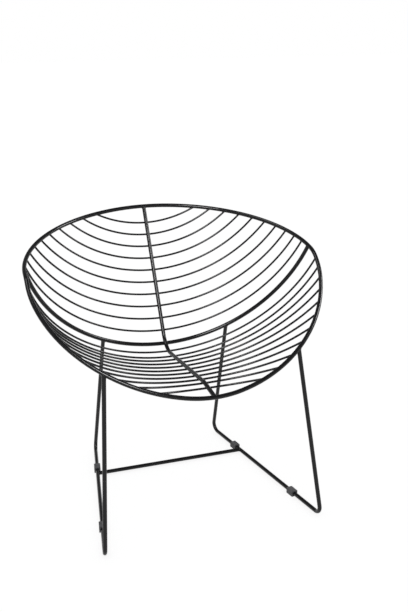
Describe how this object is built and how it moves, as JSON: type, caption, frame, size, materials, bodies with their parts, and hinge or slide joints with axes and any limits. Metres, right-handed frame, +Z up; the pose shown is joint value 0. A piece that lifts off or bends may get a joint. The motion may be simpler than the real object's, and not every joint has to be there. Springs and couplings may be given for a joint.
{
  "type": "wire lounge chair",
  "caption": "Low chair with a bowl of bent steel wires hung in a folded round hoop on a central spine, standing on two rod sled legs with plastic floor glides.",
  "frame": {"origin": "on the floor, under the middle of the hoop, on the plane of symmetry", "axes": "+X across the chair, to the right as seen from the front; +Y towards the back; +Z up. The chair faces -Y."},
  "size_m": [0.789, 0.6438, 0.739],
  "materials": {
    "powder_coat": "satin black powder coat",
    "glide_plastic": "moulded, matt grey"
  },
  "bodies": {
    "root": {"rim": "powder_coat", "spine": "powder_coat", "cradle_bar": "powder_coat", "left_sled": "powder_coat", "right_sled": "powder_coat", "stretcher": "powder_coat", "back_wire_01": "powder_coat", "back_wire_02": "powder_coat", "back_wire_03": "powder_coat", "back_wire_04": "powder_coat", "back_wire_05": "powder_coat", "back_wire_06": "powder_coat", "back_wire_07": "powder_coat", "back_wire_08": "powder_coat", "back_wire_09": "powder_coat", "back_wire_10": "powder_coat", "seat_wire_01": "powder_coat", "seat_wire_02": "powder_coat", "seat_wire_03": "powder_coat", "seat_wire_04": "powder_coat", "seat_wire_05": "powder_coat", "seat_wire_06": "powder_coat", "seat_wire_07": "powder_coat", "seat_wire_08": "powder_coat", "seat_wire_09": "powder_coat", "seat_wire_10": "powder_coat", "seat_wire_11": "powder_coat", "front_left_glide": "glide_plastic", "front_right_glide": "glide_plastic", "rear_left_glide": "glide_plastic", "rear_right_glide": "glide_plastic"}
  },
  "joints": []
}
